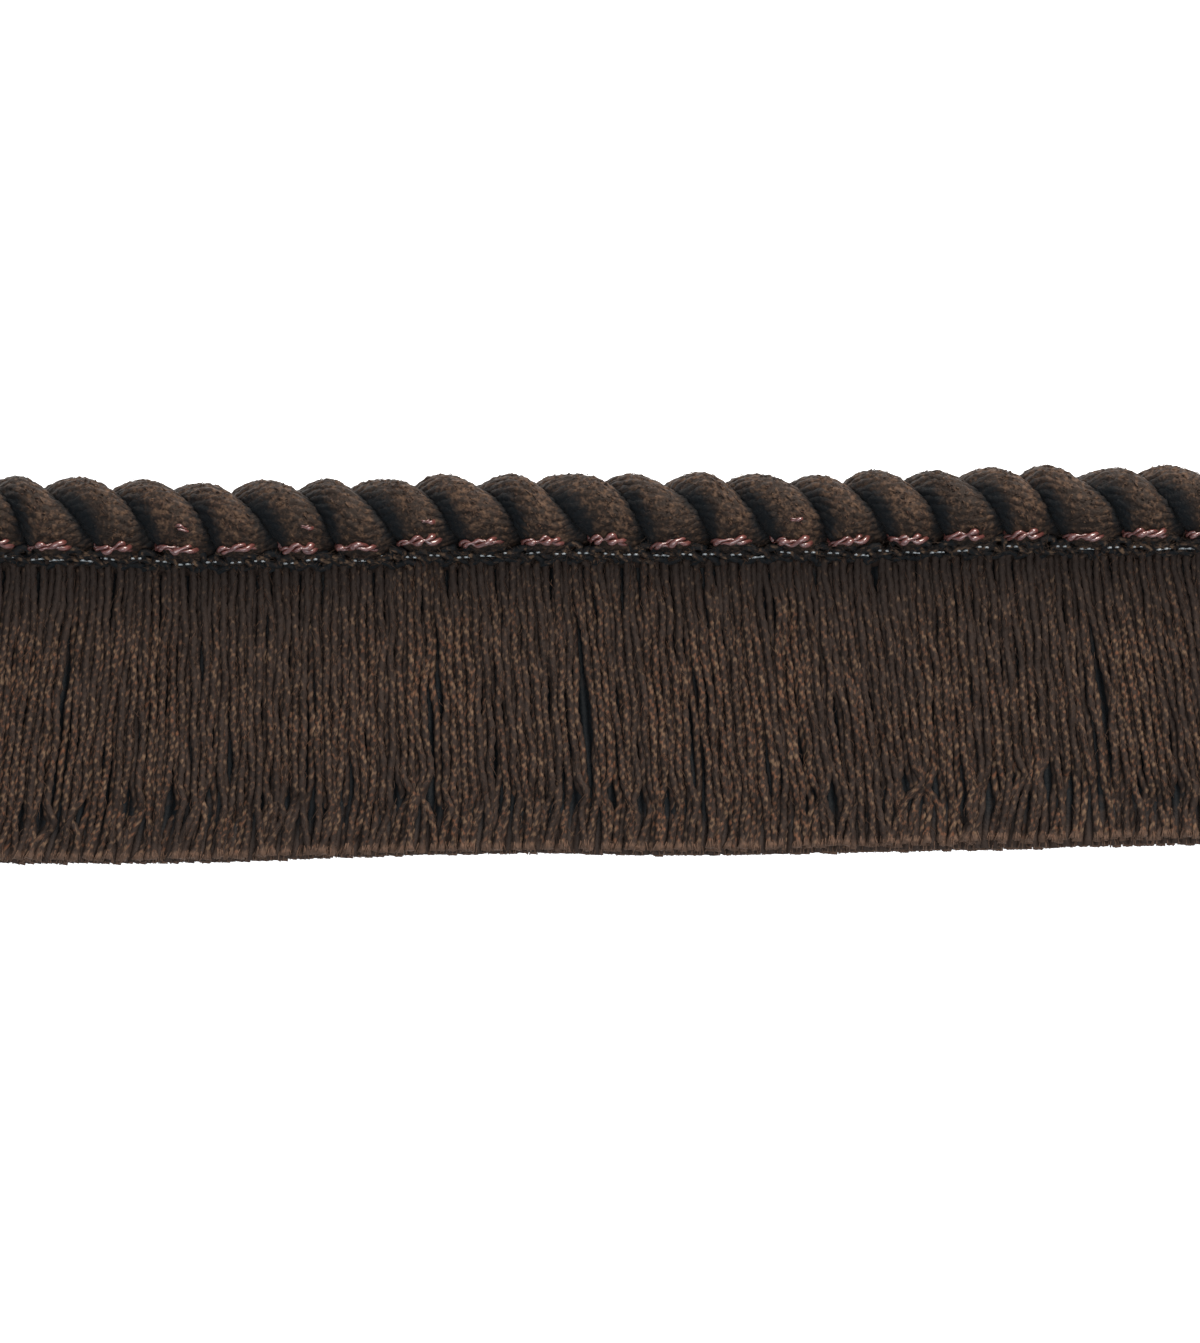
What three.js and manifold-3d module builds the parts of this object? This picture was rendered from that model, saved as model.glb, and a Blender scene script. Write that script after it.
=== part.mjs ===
// Brush fringe: a cut length of furnishing trim, lying on its back.
// A thick two-strand twisted cord runs along the top. Under it hangs a skirt of plied yarns, held at their
// roots by a narrow heading and cut straight across at the bottom.
// Millimetres. X runs along the trim, Y from the cut ends up to the cord, and Z up to the viewer.

import * as THREE from "three";
import { mergeVertices } from "three/addons/utils/BufferGeometryUtils.js";
import Module from "manifold-3d";

const wasm = await Module();
wasm.setup();

const LENGTH = 180; // of the cord and the heading
const SEWING_GAP = 0.3; // between the cord and the heading

// The cord, seen in its cross-section: two soft strands pressed together, each one an oval.
const CORD_AXIS_Y = 19.08;
const CORD_AXIS_Z = 4.75;
const CORD_LAY = 15.54; // one full turn of the twist
const CORD_PEAK_X = -3.85; // where a strand crosses the top edge
const STRAND_OFFSET = 1.7; // from the cord's axis to the strand's
const STRAND_HALF_DEPTH = 3.5;
const STRAND_HALF_WIDTH = 3.85;
const CORD_RADIUS = STRAND_OFFSET + STRAND_HALF_DEPTH;
const STITCH_DRAG = 2.6; // how far the sewing has drawn the cord's lower edge back along the trim
const DRAG_POWER = 1.5; // how the drag grows from the cord's axis down to that edge
const CORD_STEPS = 150;
const CORD_SIDES = 16;

// The skirt, measured from the cord's axis down.
const HEADING_TOP = CORD_RADIUS + SEWING_GAP;
const HEADING_WIDTH = 2.2;
const HEADING_DEPTH = 5.0;
const HEADING_ROUND = 0.9; // of its front edges
const HEADING_STEPS = 24;
const ROOT_DEPTH = 0.8; // of a yarn inside the heading
const CUT_DROP = 44.2; // from the cord's axis to the cut ends
const KINK_RISE = 6.2; // above the cut ends, where the yarns bend
const KINK_TURN = 9; // degrees, by which a yarn turns back there
const YARNS_PER_LAYER = 150;
const YARN_PITCH = 1.189;
const YARN_WIDTH = 0.84;
const YARN_HEIGHT = 1.25;

// How the trim runs: rises of the cord's axis and of the cut edge, the yarns' lean in degrees (a positive one
// takes the ends towards +X) and how far the cord's turns have slipped along.
const COURSE = [
  { x: -90, cordRise: 1.0, cutRise: 1.2, lean: -5, slip: 0.0 },
  { x: -70, cordRise: 0.6, cutRise: 0.35, lean: -8, slip: -0.6 },
  { x: -50, cordRise: -0.35, cutRise: 0.05, lean: -2, slip: 0.0 },
  { x: -30, cordRise: -0.25, cutRise: 0.4, lean: -1, slip: -0.3 },
  { x: -10, cordRise: 0.0, cutRise: 0.5, lean: 3, slip: 0.0 },
  { x: 10, cordRise: -0.3, cutRise: -0.1, lean: 4, slip: 0.9 },
  { x: 30, cordRise: -0.6, cutRise: -0.1, lean: 6, slip: 0.6 },
  { x: 50, cordRise: -0.2, cutRise: 0.0, lean: 4, slip: -0.4 },
  { x: 70, cordRise: -0.4, cutRise: 0.2, lean: 9, slip: -0.7 },
  { x: 90, cordRise: -0.2, cutRise: 0.3, lean: 8, slip: 0.0 },
];

// Where the front yarns have parted into locks: the parting's place, how far it opens and over what reach.
// A parting is open at the kink, a little less so halfway up, and goes on opening slightly below the kink.
const PARTED_AT_MIDDLE = 0.8;
const PARTED_BELOW_KINK = 0.2;
const PARTINGS = [
  { x: -78, opening: 1.1, reach: 6 },
  { x: -66, opening: 1.4, reach: 6 },
  { x: -52, opening: 0.7, reach: 5 },
  { x: -37, opening: 1.2, reach: 6 },
  { x: -21, opening: 0.8, reach: 5 },
  { x: -3, opening: 2.0, reach: 8 },
  { x: 11, opening: 1.4, reach: 6 },
  { x: 27, opening: 0.8, reach: 5 },
  { x: 44, opening: 1.0, reach: 6 },
  { x: 61, opening: 1.5, reach: 6 },
  { x: 79, opening: 1.0, reach: 6 },
];

// The skirt's two layers: the height of a yarn's underside at its root, its middle, its kink and its end, the
// share of a pitch by which the layer is set along, and how much of the partings it follows.
const LAYERS = [
  { root: 0, middle: 0, kink: 0, end: 0, setAlong: 0.75, follows: -0.5 },
  { root: 3.1, middle: 2.3, kink: 2.1, end: 1.75, setAlong: 0.25, follows: 1 },
];

const CORD_LOOK = { color: 0x46362f, roughness: 0.8, metalness: 0 };
const SKIRT_LOOK = { color: 0x3b2f2a, roughness: 0.85, metalness: 0 };

const radians = THREE.MathUtils.degToRad;

// The value of a column of COURSE at x, on a smooth curve through its rows.
function course(column, x) {
  const row = (k) => COURSE[Math.min(Math.max(k, 0), COURSE.length - 1)];
  let i = 0;
  while (i < COURSE.length - 2 && x > COURSE[i + 1].x) {
    i++;
  }
  const slope = (k) => (row(k + 1)[column] - row(k - 1)[column]) / (row(k + 1).x - row(k - 1).x);
  const span = row(i + 1).x - row(i).x;
  const t = (x - row(i).x) / span;
  return (
    row(i)[column] * (1 + 2 * t) * (1 - t) ** 2 +
    row(i + 1)[column] * t * t * (3 - 2 * t) +
    slope(i) * span * t * (1 - t) ** 2 -
    slope(i + 1) * span * t * t * (1 - t)
  );
}

// A closed mesh through rings of points, with its two ends filled in.
function skinRings(rings) {
  const sides = rings[0].length;
  const positions = rings.flat().flatMap((p) => [p.x, p.y, p.z]);
  const faces = [];
  for (let i = 0; i + 1 < rings.length; i++) {
    for (let k = 0; k < sides; k++) {
      const a = i * sides + k;
      const b = i * sides + ((k + 1) % sides);
      faces.push(a, b, b + sides, a, b + sides, a + sides);
    }
  }
  const lastRing = (rings.length - 1) * sides;
  for (let k = 1; k + 1 < sides; k++) {
    faces.push(0, k + 1, k);
    faces.push(lastRing, lastRing + k, lastRing + k + 1);
  }
  const geometry = new THREE.BufferGeometry();
  geometry.setAttribute("position", new THREE.Float32BufferAttribute(positions, 3));
  geometry.setIndex(faces);
  return geometry;
}

// A three.js geometry as a solid that can be joined to others.
function solidOf(geometry) {
  const bare = geometry.clone();
  bare.deleteAttribute("normal");
  bare.deleteAttribute("uv");
  const merged = mergeVertices(bare);
  return new wasm.Manifold(
    new wasm.Mesh({
      numProp: 3,
      vertProperties: new Float32Array(merged.attributes.position.array),
      triVerts: new Uint32Array(merged.index.array),
    }),
  );
}

function geometryOf(solid) {
  const mesh = solid.getMesh();
  const geometry = new THREE.BufferGeometry();
  geometry.setAttribute("position", new THREE.BufferAttribute(mesh.vertProperties, 3));
  geometry.setIndex(new THREE.BufferAttribute(mesh.triVerts, 1));
  geometry.computeVertexNormals();
  return geometry;
}

// The cord's outline in polar form: the outer of the two ovals in each direction, measured from their long line.
function cordOutline(angle) {
  const across = Math.abs(Math.cos(angle));
  const along = Math.sin(angle);
  const square = (across / STRAND_HALF_DEPTH) ** 2 + (along / STRAND_HALF_WIDTH) ** 2;
  const half = (across * STRAND_OFFSET) / STRAND_HALF_DEPTH ** 2;
  const rest = (STRAND_OFFSET / STRAND_HALF_DEPTH) ** 2 - 1;
  return (half + Math.sqrt(half * half - square * rest)) / square;
}

// One cross-section of the cord, turned by the twist, drawn back along its lower half and flat on the floor.
function cordRing(step) {
  const x = LENGTH * (step / CORD_STEPS - 0.5);
  const twist = (2 * Math.PI * (x - CORD_PEAK_X - course("slip", x))) / CORD_LAY;
  const ring = [];
  for (let k = 0; k < CORD_SIDES; k++) {
    const angle = (2 * Math.PI * k) / CORD_SIDES;
    const radius = cordOutline(angle);
    const up = radius * Math.cos(angle + twist);
    const forward = radius * Math.sin(angle + twist);
    const drag = STITCH_DRAG * (Math.max(0, -up) / CORD_RADIUS) ** DRAG_POWER;
    ring.push(
      new THREE.Vector3(
        x - drag,
        CORD_AXIS_Y + course("cordRise", x) + up,
        Math.max(0, CORD_AXIS_Z + forward),
      ),
    );
  }
  return ring;
}

function twistedCord() {
  const rings = [];
  for (let step = 0; step <= CORD_STEPS; step++) {
    rings.push(cordRing(step));
  }
  return skinRings(rings);
}

// The heading: a strip with rounded front edges that keeps to the cord's course.
function headingStrip() {
  const rings = [];
  for (let step = 0; step <= HEADING_STEPS; step++) {
    const x = LENGTH * (step / HEADING_STEPS - 0.5);
    const top = CORD_AXIS_Y + course("cordRise", x) - HEADING_TOP;
    const bottom = top - HEADING_WIDTH;
    const front = HEADING_DEPTH;
    rings.push([
      new THREE.Vector3(x, top, 0),
      new THREE.Vector3(x, top, front - HEADING_ROUND),
      new THREE.Vector3(x, top - HEADING_ROUND, front),
      new THREE.Vector3(x, bottom, front),
      new THREE.Vector3(x, bottom, 0),
    ]);
  }
  return solidOf(skinRings(rings));
}

// How far a yarn is pushed aside by the partings near it: away from each, fading over its reach.
function partingShift(x) {
  let shift = 0;
  for (const { x: middle, opening, reach } of PARTINGS) {
    const away = x - middle;
    const near = Math.max(0, 1 - Math.abs(away) / reach);
    shift += (Math.sign(away) * opening * near) / 2;
  }
  return shift;
}

// One yarn as a three-sided lock: level underneath, ridged on top, from inside the heading to the cut.
function yarnLock(rootX, layer) {
  const rootTop = CORD_AXIS_Y + course("cordRise", rootX) - HEADING_TOP - HEADING_WIDTH;
  const cut = CORD_AXIS_Y - CUT_DROP + course("cutRise", rootX);
  const kink = cut + KINK_RISE;
  const lean = radians(course("lean", rootX));
  const push = partingShift(rootX) * layer.follows;
  const middle = (rootTop + kink) / 2;
  const middleX = rootX + (rootTop - middle) * Math.tan(lean) + push * PARTED_AT_MIDDLE;
  const kinkX = rootX + (rootTop - kink) * Math.tan(lean) + push;
  const endX = kinkX + KINK_RISE * Math.tan(lean - radians(KINK_TURN)) + push * PARTED_BELOW_KINK;
  const stations = [
    { x: rootX, y: rootTop + ROOT_DEPTH, z: layer.root },
    { x: middleX, y: middle, z: layer.middle },
    { x: kinkX, y: kink, z: layer.kink },
    { x: endX, y: cut, z: layer.end },
  ];
  return solidOf(
    skinRings(
      stations.map(({ x, y, z }) => [
        new THREE.Vector3(x + YARN_WIDTH / 2, y, z),
        new THREE.Vector3(x, y, z + YARN_HEIGHT),
        new THREE.Vector3(x - YARN_WIDTH / 2, y, z),
      ]),
    ),
  );
}

function brushSkirt() {
  const pieces = [headingStrip()];
  for (const layer of LAYERS) {
    for (let i = 0; i < YARNS_PER_LAYER; i++) {
      pieces.push(yarnLock(YARN_PITCH * (i + layer.setAlong - YARNS_PER_LAYER / 2), layer));
    }
  }
  return geometryOf(wasm.Manifold.union(pieces));
}

function piece(name, geometry, look) {
  const mesh = new THREE.Mesh(geometry, new THREE.MeshStandardMaterial(look));
  mesh.name = name;
  return mesh;
}

const fringe = new THREE.Group();
fringe.add(piece("twisted_cord", twistedCord(), CORD_LOOK));
fringe.add(piece("brush_skirt", brushSkirt(), SKIRT_LOOK));

export default fringe;
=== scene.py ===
import math
from typing import NamedTuple

import bpy
import numpy as np
from mathutils import Matrix, Vector


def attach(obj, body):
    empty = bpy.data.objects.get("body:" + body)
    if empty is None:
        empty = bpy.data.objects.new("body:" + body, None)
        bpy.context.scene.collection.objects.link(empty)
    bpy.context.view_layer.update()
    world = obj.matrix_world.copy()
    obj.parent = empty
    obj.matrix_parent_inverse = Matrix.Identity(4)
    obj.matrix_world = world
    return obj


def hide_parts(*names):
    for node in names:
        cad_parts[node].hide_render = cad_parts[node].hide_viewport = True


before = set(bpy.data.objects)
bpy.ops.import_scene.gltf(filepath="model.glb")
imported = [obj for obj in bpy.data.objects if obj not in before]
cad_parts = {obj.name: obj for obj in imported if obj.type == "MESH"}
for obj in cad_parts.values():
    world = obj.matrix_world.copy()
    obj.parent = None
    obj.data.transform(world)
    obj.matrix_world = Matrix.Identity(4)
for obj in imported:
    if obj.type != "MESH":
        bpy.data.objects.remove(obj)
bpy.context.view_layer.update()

bl_info = {
    "name": "Brush fringe",
    "version": (1, 0, 0),
    "blender": (4, 5, 0),
    "location": "3D View > Sidebar > Fringe",
    "description": "Dresses a length of brush fringe with plied yarns, sewing threads and studio light",
    "category": "Object",
}

# Lengths are millimetres until a mesh is filled. Angles are radians unless a name says degrees. X runs along
# the trim, Y from the cut ends up to the cord, and Z up to the viewer.
MM = 0.001
UP = np.array((0.0, 0.0, 1.0))

# The trim's own measures, the same as the solids'.
LENGTH = 180.0
HALF_LENGTH = LENGTH / 2
CORD_AXIS_Y = 19.08
CORD_AXIS_Z = 4.75
CORD_LAY = 15.54  # one full turn of the cord's twist
CORD_PEAK_X = -3.85  # where a strand crosses the top edge
STRAND_OFFSET = 1.7  # from the cord's axis to a strand's
STRAND_HALF_DEPTH = 3.5
STRAND_HALF_WIDTH = 3.85
CORD_RADIUS = STRAND_OFFSET + STRAND_HALF_DEPTH
STITCH_DRAG = 2.6  # how far the sewing has drawn the cord's lower edge back along the trim
DRAG_POWER = 1.5
HEADING_TOP = 5.5  # below the cord's axis
HEADING_WIDTH = 2.2
HEADING_DEPTH = 5.0
CUT_DROP = 44.2  # from the cord's axis to the cut ends
KINK_RISE = 6.2  # above the cut ends, where the yarns bend
KINK_TURN = math.radians(9.0)
YARNS_PER_LAYER = 150
YARN_PITCH = 1.189
PARTED_BELOW_KINK = 0.2

# How the trim runs: the rise of the cord's axis and of the cut edge, the yarns' lean in degrees, which takes
# the ends towards +X where it is positive, and how far the cord's turns have slipped along.
COURSE = {
    "x": (-90, -70, -50, -30, -10, 10, 30, 50, 70, 90),
    "cord_rise": (1.0, 0.6, -0.35, -0.25, 0.0, -0.3, -0.6, -0.2, -0.4, -0.2),
    "cut_rise": (1.2, 0.35, 0.05, 0.4, 0.5, -0.1, -0.1, 0.0, 0.2, 0.3),
    "lean": (-5, -8, -2, -1, 3, 4, 6, 4, 9, 8),
    "slip": (0.0, -0.6, 0.0, -0.3, 0.0, 0.9, 0.6, -0.4, -0.7, 0.0),
}

# Where the front yarns have parted into locks.
PARTINGS = {
    "x": (-78, -66, -52, -37, -21, -3, 11, 27, 44, 61, 79),
    "opening": (1.1, 1.4, 0.7, 1.2, 0.8, 2.0, 1.4, 0.8, 1.0, 1.5, 1.0),
    "reach": (6, 6, 5, 6, 5, 8, 6, 5, 6, 6, 6),
}

# The longest dark slits between the front yarns: the middle of each, how wide it opens and half its length.
SLITS = {
    "x": (-3.2, 10.3, -36.5, -66.7, 62.2),
    "y": (-6.8, -11.9, -18.4, -4.0, -4.9),
    "opening": (1.2, 0.7, 0.8, 0.8, 1.0),
    "half_length": (7.0, 7.0, 4.5, 7.0, 8.0),
}
SLIT_REACH = 3.2  # how far along from a slit the yarns still give way to it


# Shapes worked out with numpy.


def course(column, x):
    """A column of COURSE at x: a cubic through its rows, whose slope at a row is that of the line between
    the rows on either side."""
    places = np.array(COURSE["x"], float)
    values = np.array(COURSE[column], float)
    around = np.pad(places, 1, mode="edge")
    beside = np.pad(values, 1, mode="edge")
    slopes = (beside[2:] - beside[:-2]) / (around[2:] - around[:-2])
    i = np.clip(np.searchsorted(places, x) - 1, 0, len(places) - 2)
    span = places[i + 1] - places[i]
    t = (x - places[i]) / span
    return (
        values[i] * (1 + 2 * t) * (1 - t) ** 2
        + values[i + 1] * t * t * (3 - 2 * t)
        + slopes[i] * span * t * (1 - t) ** 2
        - slopes[i + 1] * span * t * t * (1 - t)
    )


def cord_axis_y(x):
    """The height of the cord's axis at x."""
    return CORD_AXIS_Y + course("cord_rise", x)


def parting_shift(x):
    """How far a yarn rooted at x is pushed aside: half of each parting's opening, away from its middle,
    less in proportion to the distance and nothing beyond its reach."""
    away = x[..., None] - np.array(PARTINGS["x"], float)
    near = np.maximum(0, 1 - np.abs(away) / np.array(PARTINGS["reach"], float))
    return (np.sign(away) * np.array(PARTINGS["opening"]) * near).sum(axis=-1) / 2


def slit_shift(x, y):
    """How far a front yarn rooted at x is pushed aside at height y: half of each slit's opening, away from
    it, less in proportion to the distance, and only along the slit's length. Small slits at random places
    are added to the long ones."""
    small = 44
    rng = np.random.default_rng(29)
    place = np.concatenate((SLITS["x"], rng.uniform(-HALF_LENGTH, HALF_LENGTH, small)))
    height = np.concatenate((SLITS["y"], rng.uniform(-20, 8, small)))
    opening = np.concatenate((SLITS["opening"], rng.uniform(0.3, 0.9, small)))
    half_length = np.concatenate((SLITS["half_length"], rng.uniform(2.0, 6.0, small)))
    away = x[..., None] - place
    near = np.sign(away) * np.maximum(0, 1 - np.abs(away) / SLIT_REACH)
    return (opening / 2 * near * bell(y[..., None] - height, half_length)).sum(axis=-1)


def unit(vectors):
    return vectors / np.linalg.norm(vectors, axis=-1, keepdims=True)


def vectors(x, y, z):
    """One array of points or directions from their three parts."""
    return np.stack(np.broadcast_arrays(x, y, z), axis=-1)


def lengths_along(paths):
    """The length from each path's start to each of its points."""
    steps = np.linalg.norm(np.diff(paths, axis=1), axis=2)
    return np.pad(np.cumsum(steps, axis=1), ((0, 0), (1, 0)))


def bell(value, width):
    """A bump of height 1 where value is 0, that falls away smoothly over width."""
    return np.exp(-((value / width) ** 2))


def ramp(value):
    """Rises smoothly from 0 to 1 as value does."""
    t = np.clip(value, 0, 1)
    return t * t * (3 - 2 * t)


def wander(rng, count, along, wavelengths):
    """A smooth random line for each yarn, about -1 to 1: the mean of sine waves of the given lengths, each
    with its own start and size."""
    total = np.zeros((count, along.shape[-1]))
    for wavelength in wavelengths:
        start = rng.uniform(0, 2 * np.pi, (count, 1))
        size = rng.uniform(0.5, 1.2, (count, 1))
        total += size * np.sin(2 * np.pi * along / wavelength + start)
    return total / len(wavelengths)


class Twist(NamedTuple):
    """How two plies are twisted into a yarn."""

    turn: float  # length of one full turn
    hand: int  # 1 or -1
    offset: float  # from the yarn's middle to a ply's
    radius: float  # of a ply
    sides: int
    flat: float = 0.9  # a ply's half thickness over its radius; its half width is the inverse


class Tubes(NamedTuple):
    """Closed tubes of one kind: rings[tube, station, side] are points, and the rest has a value for each
    station. The last two may have one for each side as well."""

    rings: np.ndarray
    along: np.ndarray  # length along the tube, from any start, because it only places the pattern
    tone: np.ndarray  # how light the yarn is, mostly 0 to 1
    # This value marks where a yarn material's last colour is painted: in the cord's grooves as painted
    # shade, and at the skirt's cut ends as a paler brown that is partly the fibres' own and partly painted
    # light.
    tip: np.ndarray  # 1 at a frayed end or in a groove and 0 elsewhere
    crown: np.ndarray = np.ones((1, 1))  # 1 on the crest of a ply and -1 between plies


def tube_rings(paths, outward, thick, wide, sides):
    """Rings round paths: at each point an ellipse square to the path, thick along outward and wide across
    it, turning to the right round the path's direction."""
    tangent = unit(np.gradient(paths, axis=1))
    across = unit(np.cross(tangent, outward))
    out = np.cross(across, tangent)
    angle = 2 * np.pi * np.arange(sides) / sides
    thick, wide = (value if value.ndim == 3 else value[..., None] for value in (thick, wide))
    return (
        paths[:, :, None]
        + (thick * np.cos(angle))[..., None] * out[:, :, None]
        + (wide * np.sin(angle))[..., None] * across[:, :, None]
    )


def plied(paths, front, twist, rng, swell):
    """Two plies wound round each path, each a tube of its own. With length s along it, the winding angle is
    2 pi s / turn plus a random start, and half a turn more for the second ply. A ply's middle is the path's
    point, plus offset along the direction at that angle from front."""
    count, stations = paths.shape[:2]
    along = lengths_along(paths)
    tangent = unit(np.gradient(paths, axis=1))
    side = unit(np.cross(tangent, front))
    up = np.cross(side, tangent)
    start = rng.uniform(0, 2 * np.pi, (count, 1))
    turn = twist.turn * rng.uniform(0.9, 1.12, (count, 1))
    swell = swell * (1 + 0.06 * wander(rng, count, along, (2.3, 3.9)))
    radius = twist.radius * swell
    tone = rng.uniform(0, 1, (count, 1)) * np.ones((count, stations))
    made = []
    for ply in range(2):
        angle = start + np.pi * ply + twist.hand * 2 * np.pi * along / turn
        out = np.cos(angle)[..., None] * up + np.sin(angle)[..., None] * side
        middle = paths + (twist.offset * swell)[..., None] * out
        rings = tube_rings(middle, out, radius * twist.flat, radius / twist.flat, twist.sides)
        made.append(Tubes(rings, along, tone, 0 * tone))
    return made


def soft_yarns(paths, front, twist, rng, tone, tip=0.0, swell=1.0, wound=None):
    """Two-ply yarns whose plies have sunk into each other, one tube each. The plies are wound by the length
    along the yarn unless another length is given. At angle p round the yarn from front, where the plies are
    wound to the angle w, the radius is the ply's plus offset times (0.4 + 0.6 cos 2(p - w))."""
    count = len(paths)
    along = lengths_along(paths)
    wound = along if wound is None else wound
    turn = twist.turn * rng.uniform(0.85, 1.15, (count, 1))
    turned = rng.uniform(0, 2 * np.pi, (count, 1)) + twist.hand * 2 * np.pi * wound / turn
    crown = np.cos(2 * (2 * np.pi * np.arange(twist.sides) / twist.sides - turned[..., None]))
    swell = swell * (1 + 0.1 * wander(rng, count, along, (1.9, 3.7)))
    radius = (twist.radius + twist.offset * (0.4 + 0.6 * crown)) * swell[..., None]
    rings = tube_rings(paths, front, radius * twist.flat, radius / twist.flat, twist.sides)
    pattern_start = rng.uniform(0, 900, (count, 1))
    return Tubes(rings, along + pattern_start, tone + 0 * along, tip + 0 * along, crown)


def fill_mesh(name, groups):
    """A mesh of closed tubes. Each ring is joined to the next by four-sided faces, and each end is closed
    by one flat face. The UV map runs once round a tube in U and in millimetres along it in V."""
    points, corners, counts, smooth, uv, tone, tip, crown = [], [], [], [], [], [], [], []
    first = 0
    for tubes in groups:
        count, stations, sides = tubes.rings.shape[:3]
        index = first + np.arange(count * stations * sides).reshape(count, stations, sides)
        first += index.size
        points.append(tubes.rings.reshape(-1, 3))
        here, after = index[:, :-1], index[:, 1:]
        wall = np.stack((here, np.roll(here, -1, 2), np.roll(after, -1, 2), after), axis=-1)
        corners += [wall.reshape(-1), index[:, 0, ::-1].reshape(-1), index[:, -1].reshape(-1)]
        counts += [np.full(wall.size // 4, 4), np.full(2 * count, sides)]
        smooth += [np.ones(wall.size // 4, bool), np.zeros(2 * count, bool)]
        place = np.arange(sides) / sides
        low = np.broadcast_to(place, here.shape)
        high = low + 1 / sides
        v_here = np.broadcast_to(tubes.along[:, :-1, None], here.shape)
        v_after = np.broadcast_to(tubes.along[:, 1:, None], here.shape)
        u = np.stack((low, high, high, low), axis=-1)
        v = np.stack((v_here, v_here, v_after, v_after), axis=-1)
        uv.append(np.stack((u, v), axis=-1).reshape(-1, 2))
        for end in (0, -1):
            v_end = np.repeat(tubes.along[:, end], sides)
            uv.append(np.stack((np.tile(place, count), v_end), axis=-1))
        tone.append(np.repeat(tubes.tone.reshape(-1), sides))
        for kept, given in ((tip, tubes.tip), (crown, tubes.crown)):
            given = given if given.ndim == 3 else given[..., None]
            kept.append(np.broadcast_to(given, (count, stations, sides)).reshape(-1))
    points = np.concatenate(points) * MM
    corners = np.concatenate(corners)
    counts = np.concatenate(counts)
    mesh = bpy.data.meshes.new(name)
    mesh.vertices.add(len(points))
    mesh.loops.add(len(corners))
    mesh.polygons.add(len(counts))
    mesh.vertices.foreach_set("co", points.reshape(-1))
    mesh.loops.foreach_set("vertex_index", corners)
    mesh.polygons.foreach_set("loop_start", np.cumsum(counts) - counts)
    mesh.polygons.foreach_set("loop_total", counts)
    mesh.polygons.foreach_set("use_smooth", np.concatenate(smooth))
    mesh.uv_layers.new(name="ply").data.foreach_set("uv", np.concatenate(uv).reshape(-1))
    for attribute, values in (("tone", tone), ("tip", tip), ("crown", crown)):
        layer = mesh.attributes.new(attribute, "FLOAT", "POINT")
        layer.data.foreach_set("value", np.concatenate(values))
    mesh.update(calc_edges=True)
    mesh.validate()
    return mesh


def add_piece(name, groups, material, slot, *nodes):
    """Puts closed tubes in the scene as one piece of the trim, which rides on it."""
    mesh = fill_mesh(name, groups)
    mesh.materials.append(material)
    piece = bpy.data.objects.new(name, mesh)
    bpy.context.scene.collection.objects.link(piece)
    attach(piece, "root")
    if nodes:
        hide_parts(*nodes)


# The cord.


def lobe_rise(x):
    """How much higher or lower one lobe of the cord is than the next: the sum of two waves in x, longer
    than a lobe, so that no two neighbours are alike."""
    return 0.15 * np.sin(2 * np.pi * x / 11.3 + 0.6) + 0.12 * np.sin(2 * np.pi * x / 18.7 + 2.0)


def cord_twist(x):
    """The angle by which the cord has turned at x. It is a little ahead on some lobes and behind on
    others."""
    uneven = 0.34 * np.sin(2 * np.pi * x / 12.9 + 1.2) + 0.2 * np.sin(2 * np.pi * x / 21.1)
    return 2 * np.pi * (x - CORD_PEAK_X - course("slip", x) - uneven) / CORD_LAY


def cord_space(x, along_line, across_line, least_z=0.0):
    """Points given in the cord's cross-section at x, by their distances along and across the line through
    its two strands. They are turned by the twist, drawn back along the lower half, and kept off the
    floor."""
    twist = cord_twist(x)
    up = along_line * np.cos(twist) - across_line * np.sin(twist)
    forward = along_line * np.sin(twist) + across_line * np.cos(twist)
    drag = STITCH_DRAG * (np.maximum(0, -up) / CORD_RADIUS) ** DRAG_POWER
    y = cord_axis_y(x) + lobe_rise(x) + up
    return vectors(x - drag, y, np.maximum(least_z, CORD_AXIS_Z + forward))


def cord_outline(angle):
    """The outer of the cord's two ovals in each direction, measured from the line through its strands."""
    across = np.abs(np.cos(angle))
    along = np.sin(angle)
    square = (across / STRAND_HALF_DEPTH) ** 2 + (along / STRAND_HALF_WIDTH) ** 2
    half = across * STRAND_OFFSET / STRAND_HALF_DEPTH**2
    rest = (STRAND_OFFSET / STRAND_HALF_DEPTH) ** 2 - 1
    return (half + np.sqrt(half * half - square * rest)) / square


def strand_oval(turned, angle, proud, share=1.0):
    """Places on a strand's oval or proud of it, as distances along and across the line through the strands.
    Turned is 1 for one strand and -1 for the other, and share makes the oval smaller."""
    along_line = turned * (STRAND_OFFSET + (STRAND_HALF_DEPTH + proud) * share * np.cos(angle))
    across_line = turned * (STRAND_HALF_WIDTH + proud) * share * np.sin(angle)
    return along_line, across_line


STRAND_YARNS = 20  # on the outside of one strand
STRAND_YARN_TURN = 0.513  # radians per mm, by which a yarn goes back round its strand as the cord turns on
STRAND_YARN_REACH = math.radians(122.0)  # how far round it a yarn is seen, to each side
STRAND_YARN_STEPS = 19
STRAND_YARN_SUNK = 0.8  # share of a yarn's radius by which its middle lies inside the strand's oval
CORD_FIBRES = 3400


def painted_groove_shade(angle, points):
    """How much painted shade places on a strand get, from 0 to 1; it stands in for the shade in the grooves
    and on the flank turned away from the light. It rises with the angle round the strand towards the
    grooves, and begins sooner on the strand's lower flank, but not where that flank comes over the top edge.
    It rises a little towards the cord's lower edge as well, as painted shade there too."""
    up = points[..., 1] - cord_axis_y(points[..., 0])
    degrees = np.degrees(angle)
    lower_flank = ramp((degrees - 28) / 52) * ramp((4.8 - up) / 3.0)
    upper_flank = ramp((-degrees - 80) / 38)
    return np.maximum(np.maximum(lower_flank, upper_flank), 0.35 * ramp((-2.0 - up) / 3.0))


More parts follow.
